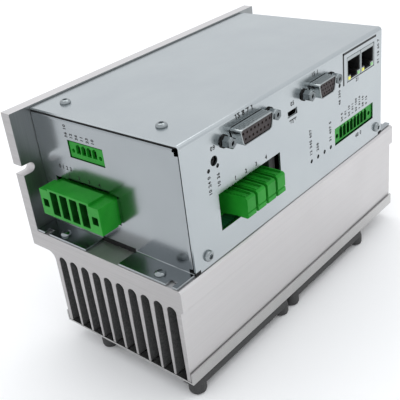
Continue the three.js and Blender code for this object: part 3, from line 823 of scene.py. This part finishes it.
supplyBlock = solid("supplyHousing", supplyBody)
cutAway(supplyBlock, supplyPockets)
finish(supplyBlock, [green, shadedGreen], ["supply_header"], bevel=0.28, segments=3)
shadePockets(supplyBlock, at(-11.0, supply["y"][0] + 1, supply["z"][0] + 1),
             at(0, supply["y"][1] - 1, supply["z"][1] - 1.4))


def supplyPinRow(bm):
    pin = [(0, -2.3), (1.15, -2.3), (1.15, -8.6), (0.7, -9.4), (0, -9.4)]
    for k in fourPoles:
        spun(bm, pin, (supply["middle"] + k * supply["pitch"], supply["pinZ"]), "x", 16)


def supplyNutPair(bm):
    nut = [(1.0, -5.3), (1.75, -5.3), (1.75, -6.6), (1.0, -6.6)]
    for side in (-1, 1):
        y = supply["middle"] + side * (supply["pitch"] * 2 + supply["ear"])
        spun(bm, nut, (y, supply["nutZ"]), "x", 20)


finish(solid("supplyPins", supplyPinRow), tinPlate, bevel=0)
finish(solid("supplyNuts", supplyNutPair), screwZinc, bevel=0)


def motorBody(bm):
    m = motor
    z0, z1 = m["z"]
    out = -m["out"]
    for k in fourPoles:
        x = m["middle"] + k * m["pitch"]
        side = [(8.5, z0 - 1.2), (8.5, z1), (out + 0.9, z1), (out, z1 - 0.9), (out, z0 + 3.4),
                (out + 0.5, z0 + 3.1), (out + 0.5, z0 + 2.8), (out, z0 + 2.5), (out, z0 + 0.5),
                (out + 0.7, z0), (-1, z0)]
        prism(bm, side, "x", x - m["half"], x + m["half"])
        for rib in (-1.9, 1.9):
            prism(bm, rectangle(x + rib - 0.35, x + rib + 0.35, z1 - 0.2, z1 + 0.6), "y", out + 1.4, 8.4)


def motorBack(bm):
    m = motor
    block(bm, (m["middle"] - 17.5, m["middle"] + 17.5), (8.3, 14), (12.9, 27.4))
    block(bm, (m["middle"] - 14, m["middle"] + 14), (2.5, 8.4), (17.4, 24.6))


def motorGrooves(bm):
    # the screwdriver and release slits along the top of each module
    m = motor
    for k in fourPoles:
        x = m["middle"] + k * m["pitch"]
        for shift in (-1.0, 1.0):
            block(bm, (x + shift - 0.3, x + shift + 0.3), (-m["out"] + 1.6, 7.5),
                  (m["z"][1] - 1.8, m["z"][1] + 1))


motorFingers = solid("motorModules", motorBody)
cutAway(motorFingers, motorGrooves)
finish(motorFingers, green, ["motor_header"], bevel=0.22, segments=3)
motorBlock = solid("motorBlock", motorBack)
finish(motorBlock, green, bevel=0.3)


def motorCollar(bm):
    # black fillers at both ends of the motor header's window
    for xs, ys in (((61.8, 66.6), (3, 13)), ((20.9, 26.4), (6, 13))):
        block(bm, xs, ys, (14, 30.4))


finish(solid("motorCollar", motorCollar), fanBlack, bevel=0.3)


def polePlaces(header, axis):
    # the middles of the header's poles along x or y
    middle = (header[axis][0] + header[axis][1]) / 2
    return [middle + (i - (header["poles"] - 1) / 2) * header["pitch"] for i in range(header["poles"])]


def ioBody(bm):
    (x0, x1), (z0, z1) = ioHeader["x"], ioHeader["z"]
    prism(bm, rectangle(x0, x1, z0, z1, 0.3, 2), "y", ioHeader["front"], 9.5)


def ioPockets(bm):
    (x0, x1), (z0, z1) = ioHeader["x"], ioHeader["z"]
    for x in polePlaces(ioHeader, "x"):
        prism(bm, rectangle(x - 1.5, x + 1.5, z0 + 0.9, z1 - 1.7, 0.2, 2), "y", -1, 7.8)
        prism(bm, rectangle(x - 0.75, x + 0.75, z1 - 2.4, z1 - 0.7, 0.15, 2), "y", -1, 7.0)
    for x in (x0 + 2.7, x1 - 2.7):
        prism(bm, circle((x, z0 + 3.6), 1.25, 20), "y", -1, 5)


ioBlock = solid("signalHeader", ioBody)
cutAway(ioBlock, ioPockets)
finish(ioBlock, [green, shadedGreen], ["io_header"], bevel=0.14)
shadePockets(ioBlock, at(ioHeader["x"][0], ioHeader["front"] + 0.8, 0), at(ioHeader["x"][1], 9, 40))
ioPins = solid("signalPins", lambda bm: [
    block(bm, (x - 0.4, x + 0.4), (2.6, 8.2), (17.2, 18.0)) for x in polePlaces(ioHeader, "x")])
finish(ioPins, tinPlate, bevel=0.1)


def safetyBody(bm):
    (y0, y1), (z0, z1) = safety["y"], safety["z"]
    prism(bm, rectangle(y0, y1, z0, z1, 0.3, 2), "x", safety["front"], 2.1)
    prism(bm, rectangle(y0 + 0.1, y1 - 0.1, 44.2, z1 - 0.1), "x", 2.0, 9.5)


def safetyPockets(bm):
    (y0, y1), (z0, z1) = safety["y"], safety["z"]
    for y in polePlaces(safety, "y"):
        prism(bm, rectangle(y - 1.5, y + 1.5, z0 + 2.3, z1 - 1.5, 0.2, 2), "x", -1, 7.8)
        prism(bm, rectangle(y - 0.75, y + 0.75, z1 - 2.4, z1 - 0.9, 0.15, 2), "x", -1, 7.0)
    for y in (y0 + 2.2, y1 - 2.2):
        prism(bm, circle((y, z0 + 3.4), 1.1, 20), "x", -1, 5)


safetyBlock = solid("safetyHeader", safetyBody)
cutAway(safetyBlock, safetyPockets)
finish(safetyBlock, [green, shadedGreen], ["safety_header"], bevel=0.14)
shadePockets(safetyBlock, at(safety["front"] + 0.8, safety["y"][0], 40), at(9, safety["y"][1], 60))
safetyPins = solid("safetyPins", lambda bm: [
    block(bm, (2.6, 8.2), (y - 0.4, y + 0.4), (46.6, 47.4)) for y in polePlaces(safety, "y")])
finish(safetyPins, tinPlate, bevel=0.1)
print("headers made")


# fans

fanLook = {"places": (28.7, 107.1), "y": 33.0, "half": 30.0, "corner": 4.0, "depth": (-51.5, -36.5),
           "mouth": 29.4, "bore": 28.3, "screwPlace": 25, "screwHole": 2.1}
bladeLook = {"count": 7, "root": 12.0, "span": 15.3, "steps": 8, "pitch": (52, -20), "lean": 0.32,
             "chord": (12.6, 2.2), "camber": 1.1, "swell": 0.45, "edge": 0.25, "z": -45.0, "flatten": 0.93}
# the guard's ends are set in between its feet
guardLook = {"half": 38.3, "deep": 34.1, "waist": 4.3, "ear": 9.2, "corner": 5.5,
             "plateDepth": (-57.1, -53.1), "opening": 29.5, "rings": (5.5, 10.0, 14.5, 19.0, 23.6),
             "footX": 34.1, "footY": 29.9}
fourCorners = [(sx, sy) for sx in (-1, 1) for sy in (-1, 1)]


def fanFrameBody(bm, x):
    f = fanLook
    h, y = f["half"], f["y"]
    prism(bm, rectangle(x - h, x + h, y - h + 0.3, y + h, f["corner"], 6), "z", *f["depth"])


def fanFrameCuts(bm, x):
    f = fanLook
    bore = [(0, -53), (f["mouth"], -53), (f["bore"], -50), (f["bore"], -35), (0, -35)]
    spun(bm, bore, (x, f["y"]), "z", 64)
    for sx, sy in fourCorners:
        centre = (x + sx * f["screwPlace"], f["y"] + sy * f["screwPlace"])
        prism(bm, circle(centre, f["screwHole"], 20), "z", -53, -35)


def spoke(bm, x, t, ends, start, end):
    # a flat arm out from the fan's middle; its corners are given along and across it
    along, across = Vector((math.cos(t), math.sin(t))), Vector((-math.sin(t), math.cos(t)))
    ring = [Vector((x, fanLook["y"])) + along * a + across * c for a, c in ends]
    prism(bm, [(p.x, p.y) for p in ring], "z", start, end)


def fanStruts(bm, x):
    # the motor's seat and the three arms that hold it
    seat = [(1.6, -38.5), (12, -38.5), (12.4, -38.1), (12.4, -36.9), (12, -36.5), (1.6, -36.5)]
    spun(bm, seat, (x, fanLook["y"]), "z", 40)
    arm = ((11.5, -1.6), (28.9, -1.6), (28.9, 1.4), (11.5, 1.6))
    for k in range(3):
        spoke(bm, x, k * 2 * math.pi / 3 + 0.3, arm, -38.4, -36.6)


def bladeSection(chord):
    # out along the upper face and back along the lower one; bulge is 1 at mid chord and 0 at both edges
    b = bladeLook
    section = []
    for side, order in ((1, range(9)), (-1, range(8, -1, -1))):
        for j in order:
            v = j / 8 - 0.5
            bulge = 1 - 4 * v * v
            section.append((v * chord, b["camber"] * bulge + side * b["swell"] * bulge + side * b["edge"]))
    return section


def rotorHub(bm, x):
    b, y = bladeLook, fanLook["y"]
    cap = [(0, -39.2), (11.9, -39.2), (12.5, -39.8), (12.5, -49.8), (11.8, -50.7), (10.6, -51.0),
           (3.2, -51.0), (2.9, -50.6), (0, -50.6)]
    spun(bm, cap, (x, y), "z", 48)
    spun(bm, [(0, -39.3), (1.2, -39.3), (1.2, -37.0), (0, -37.0)], (x, y), "z", 16)
    for k in range(b["count"]):
        rings = []
        for i in range(b["steps"] + 1):  # from hub to tip the blade twists flatter, leans and widens
            u = i / b["steps"]
            radius = b["root"] + u * b["span"]
            pitch = math.radians(b["pitch"][0] + b["pitch"][1] * u)
            lean = k * 2 * math.pi / b["count"] + b["lean"] * u
            ring = []
            for c, n in bladeSection(b["chord"][0] + b["chord"][1] * u):
                tangent = c * math.cos(pitch) - n * math.sin(pitch)
                height = c * math.sin(pitch) + n * math.cos(pitch)
                turn = lean + tangent / radius
                ring.append(at(x + radius * math.cos(turn), y + radius * math.sin(turn),
                               b["z"] + height * b["flatten"]))
            rings.append(ring)
        loft(bm, rings)


def guardPlate(bm, x):
    g, y = guardLook, fanLook["y"]
    half, deep, r = g["half"], g["deep"], g["corner"]
    outline = []
    # each corner's side, the angle its arc starts at, and whether the arc comes before the notch
    for sx, sy, turn, cornerFirst in ((1, -1, -90, True), (1, 1, 0, False), (-1, 1, 90, True),
                                      (-1, -1, 180, False)):
        corner = arc((x + sx * (half - r), y + sy * (deep - r)), r, turn, turn + 90, 8)
        notch = [(x + sx * half, y + sy * (deep - g["ear"])),
                 (x + sx * (half - g["waist"]), y + sy * (deep - g["ear"] - 1.5))]
        outline += corner + notch if cornerFirst else notch[::-1] + corner
    prism(bm, outline, "z", *g["plateDepth"])


def guardRing(bm, x):
    ring = [(28.5, -53.2), (32.8, -53.2), (32.6, -58.6), (32.0, -59.3), (31.2, -59.5), (29.6, -59.5),
            (28.8, -59.2), (28.5, -58.6)]
    spun(bm, ring, (x, fanLook["y"]), "z", 72)


def guardGrille(bm, x):
    y = fanLook["y"]
    for radius in guardLook["rings"]:
        low, high = radius - 0.8, radius + 0.8
        wire = [(low, -57.3), (high, -57.3), (high, -58.8), (radius + 0.4, -59.1), (radius - 0.4, -59.1),
                (low, -58.8)]
        spun(bm, wire, (x, y), "z", 56)
    arm = ((4.9, -0.75), (29.2, -0.95), (29.2, 0.95), (4.9, 0.75))
    for k in range(8):
        spoke(bm, x, k * math.pi / 4, arm, -58.6, -56.6)
    spun(bm, [(0, -57.0), (4.9, -57.0), (4.9, -58.7), (4.4, -59.1), (0, -59.1)], (x, y), "z", 32)


def guardFeet(bm, x):
    foot = [(0, -53.3), (3.6, -53.3), (4.4, -57.0), (4.4, -60.8), (4.1, -61.6), (3.4, -62.0),
            (1.9, -62.0), (1.7, -61.0), (0, -61.0)]
    for sx, sy in fourCorners:
        spun(bm, foot, (x + sx * guardLook["footX"], fanLook["y"] + sy * guardLook["footY"]), "z", 28)


for index, x in enumerate(fanLook["places"], 1):
    frameBody = solid(f"fanFrame{index}", lambda bm: fanFrameBody(bm, x))
    cutAway(frameBody, lambda bm: fanFrameCuts(bm, x))
    finish(frameBody, fanBlack, [f"fan_{index}_frame"], bevel=0.35)
    finish(solid(f"fanStruts{index}", lambda bm: fanStruts(bm, x)), fanBlack, bevel=0.2)
    rotor = solid(f"fanRotor{index}", lambda bm: rotorHub(bm, x))
    finish(rotor, fanBlack, [f"fan_{index}_rotor"], body=f"fan_{index}", bevel=0, sharp=34)
    plate = solid(f"guardPlate{index}", lambda bm: guardPlate(bm, x))
    cutAway(plate, lambda bm: prism(bm, circle((x, fanLook["y"]), guardLook["opening"], 72), "z", -60, -50))
    finish(plate, fanBlack, [f"fan_{index}_guard"], bevel=0.4)
    for name, build, broken in (("Ring", guardRing, 0), ("Grille", guardGrille, 0.15),
                                ("Feet", guardFeet, 0)):
        finish(solid(f"guard{name}{index}", lambda bm: build(bm, x)), fanBlack, bevel=broken)
print("fans made")


# printed figures: plain numbers, and lines round the ports

# a figure is 0.7 of the type size high; the film's thickness and the strokes' extra weight are in mm
printLook = {"film": 0.03, "weight": 0.09, "spacing": 1.15, "grow": 1.2, "figureHeight": 0.7}
printFaces = {"front": ((1, 0, 0), (0, 0, 1), (0, -1, 0)), "end": ((0, -1, 0), (0, 0, 1), (-1, 0, 0))}


def printedFigures(bm, face, entries):
    # each entry: figures, foot of the first one, their height, and whether the line climbs
    along, upward, out = (Vector(v) for v in printFaces[face])
    for figures, spot, height, climbs in entries:
        letters = bpy.data.curves.new("figures", "FONT")
        letters.body = figures
        letters.size = height * printLook["grow"] / printLook["figureHeight"]
        letters.resolution_u = 2
        letters.extrude = printLook["film"]
        letters.offset = printLook["weight"]
        letters.space_character = printLook["spacing"]
        item = bpy.data.objects.new("figures", letters)
        bpy.context.scene.collection.objects.link(item)
        bpy.context.view_layer.update()
        shape = item.evaluated_get(bpy.context.evaluated_depsgraph_get())
        mesh = bpy.data.meshes.new_from_object(shape)
        columns = (upward, -along, out) if climbs else (along, upward, out)
        turn = Matrix(columns).transposed().to_4x4()
        foot = at(spot[0], 0, spot[1]) if face == "front" else at(0, spot[0], spot[1])
        mesh.transform(Matrix.Translation(foot) @ turn @ Matrix.Scale(mm, 4))
        bm.from_mesh(mesh)
        bpy.data.objects.remove(item)
        bpy.data.curves.remove(letters)
        bpy.data.meshes.remove(mesh)
    bmesh.ops.remove_doubles(bm, verts=bm.verts, dist=0.001 * mm)


frontFigures = [
    ("15 8 7 1", (36.2, 60.0), 2.0, False), ("15 1", (96.5, 58.3), 1.8, False),
    ("09", (18.3, 52.7), 1.7, False),
    ("48 0", (138.0, 9.0), 1.9, False), ("21", (139.0, 41.4), 1.6, False), ("05", (77.8, 50.4), 1.7, False),
    ("10 24 0", (16.5, 33.2), 1.5, True), ("10 36", (22.6, 34.6), 1.5, True),
    ("48 230", (123.0, 34.4), 1.5, True), ("12 345 607", (94.6, 17.6), 1.6, True),
    ("208", (100.8, 17.6), 1.6, True), ("31 407 5", (113.2, 17.8), 1.6, True),
    ("01 10 60 7", (164.3, 43.5), 1.6, True)]
ioFigures = ("24 0", "1 01", "24 10", "1 011", "23 100", "1 0116", "38 10", "0 12")
for i, figures in enumerate(ioFigures):
    frontFigures.append((figures, (124.9 + i * ioHeader["pitch"], 24.4), 1.4, True))
for i in range(4):
    frontFigures.append((str(i + 1), (motor["middle"] + (i - 1.5) * motor["pitch"] - 0.5, 32.6), 1.7, False))
endFigures = [("0 1 2 3", (82.0, 34.3), 1.7, False), ("4 3", (76.0, 8.6), 1.5, False),
              ("36 10", (70.6, 52.2), 1.5, True)]
for i, figures in enumerate(("10", "23", "11", "36", "12")):
    endFigures.append((figures, (52.2 + i * safety["pitch"], 52.2), 1.5, True))
for i in range(4):
    endFigures.append((str(4 - i), (supply["middle"] + (i - 1.5) * supply["pitch"] + 0.5, 30.6), 1.6, False))
portLines = [((125.9, 127.2), (43.2, 60.6)), ((125.9, 161.0), (59.4, 60.6)), ((76.2, 82.2), (43.2, 43.7)),
             ((78.9, 79.5), (41.4, 43.3)), ((77.3, 77.8), (41.9, 43.3)), ((80.8, 81.3), (42.3, 43.3))]


def frontPrinting(bm):
    printedFigures(bm, "front", frontFigures)
    for xs, zs in portLines:
        block(bm, xs, (-printLook["film"], printLook["film"]), zs)


finish(solid("frontPrint", frontPrinting), ink, bevel=0)
finish(solid("endPrint", lambda bm: printedFigures(bm, "end", endFigures)), ink, bevel=0)
print("figures printed")


# floor, light and camera

studio = {"floor": "ffffff", "floorHalf": 3, "floorDrop": 0.0002, "sky": "f6f8fb", "skyStrength": 1.02,
          "aim": (0, 0, 0.06)}

floorBm = bmesh.new()
bmesh.ops.create_grid(floorBm, x_segments=4, y_segments=4, size=studio["floorHalf"])
floorMesh = bpy.data.meshes.new("floor")
floorBm.to_mesh(floorMesh)
floorBm.free()
floor = bpy.data.objects.new("floor", floorMesh)
floor.location.z = cadBounds[0][2] - studio["floorDrop"]
bpy.context.scene.collection.objects.link(floor)
floorMesh.materials.append(newMaterial("paperFloor", studio["floor"], 0.9)[0])

world = bpy.data.worlds.new("studio")
bpy.context.scene.world = world
world.use_nodes = True
sky = world.node_tree.nodes["Background"].inputs
sky["Color"].default_value = linear(studio["sky"])
sky["Strength"].default_value = studio["skyStrength"]


def softbox(name, azimuth, elevation, distance, size, watts):
    lamp = bpy.data.lights.new(name, "AREA")
    lamp.shape = "RECTANGLE"
    lamp.size, lamp.size_y = size
    lamp.energy = watts
    item = bpy.data.objects.new(name, lamp)
    a, e = math.radians(azimuth), math.radians(elevation)
    item.location = Vector((math.sin(a) * math.cos(e), -math.cos(a) * math.cos(e), math.sin(e))) * distance
    item.rotation_euler = (Vector(studio["aim"]) - item.location).to_track_quat("-Z", "Y").to_euler()
    bpy.context.scene.collection.objects.link(item)


softbox("keyLight", 25, 62, 1.2, (0.9, 0.7), 1.2)
softbox("backLight", 140, 66, 1.1, (0.9, 0.5), 2.2)

bpy.context.scene.view_settings.view_transform = "Standard"

view = {"azimuth": -45.4, "elevation": 27.83, "roll": -7.68, "distance": 383.65,
        "target": (61.03, 59.46, 0.33), "lens": 64.0, "sensor": 36, "near": 0.01, "shift": (0.0375, -0.035)}
lens = bpy.data.cameras.new("camera")
lens.lens = view["lens"]
lens.sensor_width = view["sensor"]
lens.shift_x, lens.shift_y = view["shift"]
lens.clip_start = view["near"]
camera = bpy.data.objects.new("camera", lens)
bpy.context.scene.collection.objects.link(camera)
a, e, r = (math.radians(view[key]) for key in ("azimuth", "elevation", "roll"))
back = Vector((math.sin(a) * math.cos(e), -math.cos(a) * math.cos(e), math.sin(e)))
right = Vector((math.cos(a), math.sin(a), 0))
up = back.cross(right)
rolledRight = right * math.cos(r) + up * math.sin(r)
rolledUp = up * math.cos(r) - right * math.sin(r)
turn = Matrix((rolledRight, rolledUp, back)).transposed().to_4x4()
camera.matrix_world = Matrix.Translation(at(*view["target"]) + back * view["distance"] * mm) @ turn
bpy.context.scene.camera = camera
print("studio set")
